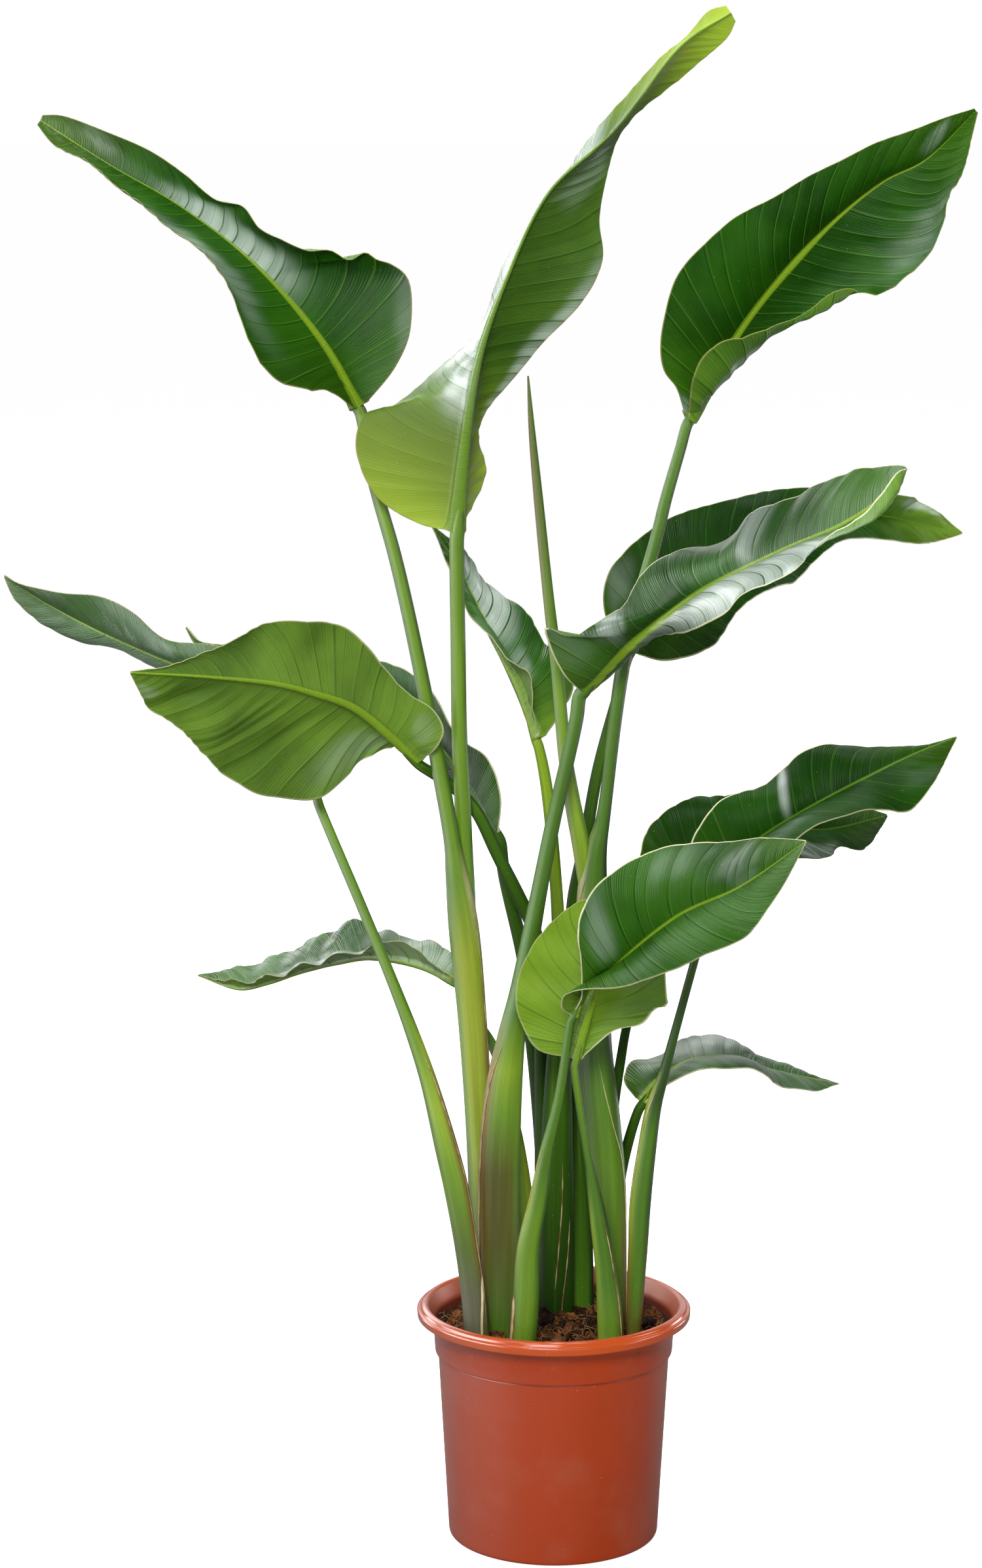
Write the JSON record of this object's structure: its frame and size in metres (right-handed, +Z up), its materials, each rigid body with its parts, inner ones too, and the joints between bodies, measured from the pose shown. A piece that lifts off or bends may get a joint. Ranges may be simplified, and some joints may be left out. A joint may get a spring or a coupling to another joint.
{
  "type": "potted bird of paradise",
  "caption": "Tall potted foliage plant: long stalks with sheathed bases carry large paddle-shaped waved leaves, rising from bark soil in a tapered lipped plastic nursery pot.",
  "frame": {"origin": "middle of the flat underside of the pot", "axes": "+Z up along the pot's axis; the front, as pictured, faces -Y, and +X is to the right"},
  "size_m": [0.8529, 0.4328, 1.3235],
  "materials": {
    "pot": "moulded terracotta-coloured plastic, satin wall and glossier rim",
    "soil": "coarse dark brown bark and coir potting soil, matt",
    "stalk": "smooth waxy green stalk with browner sheath, satin",
    "blade": "glossy waxy leaf with pale rib and fine side veins"
  },
  "bodies": {
    "root": {"leaf_01_stalk": "stalk", "leaf_01_blade": "blade", "leaf_02_stalk": "stalk", "leaf_02_blade": "blade", "leaf_03_stalk": "stalk", "leaf_03_blade": "blade", "leaf_04_stalk": "stalk", "leaf_04_blade": "blade", "leaf_05_stalk": "stalk", "leaf_05_blade": "blade", "leaf_06_stalk": "stalk", "leaf_06_blade": "blade", "leaf_07_stalk": "stalk", "leaf_07_blade": "blade", "leaf_08_stalk": "stalk", "leaf_08_blade": "blade", "leaf_09_stalk": "stalk", "leaf_09_blade": "blade", "leaf_10_stalk": "stalk", "leaf_10_blade": "blade", "leaf_11_stalk": "stalk", "leaf_11_blade": "blade", "leaf_12_stalk": "stalk", "leaf_12_blade": "blade", "leaf_13_stalk": "stalk", "leaf_13_blade": "blade", "leaf_14_stalk": "stalk", "leaf_14_blade": "blade", "leaf_15_stalk": "stalk", "leaf_15_blade": "blade", "new_leaf": "stalk", "soil": "soil", "pot": "pot"}
  },
  "joints": []
}
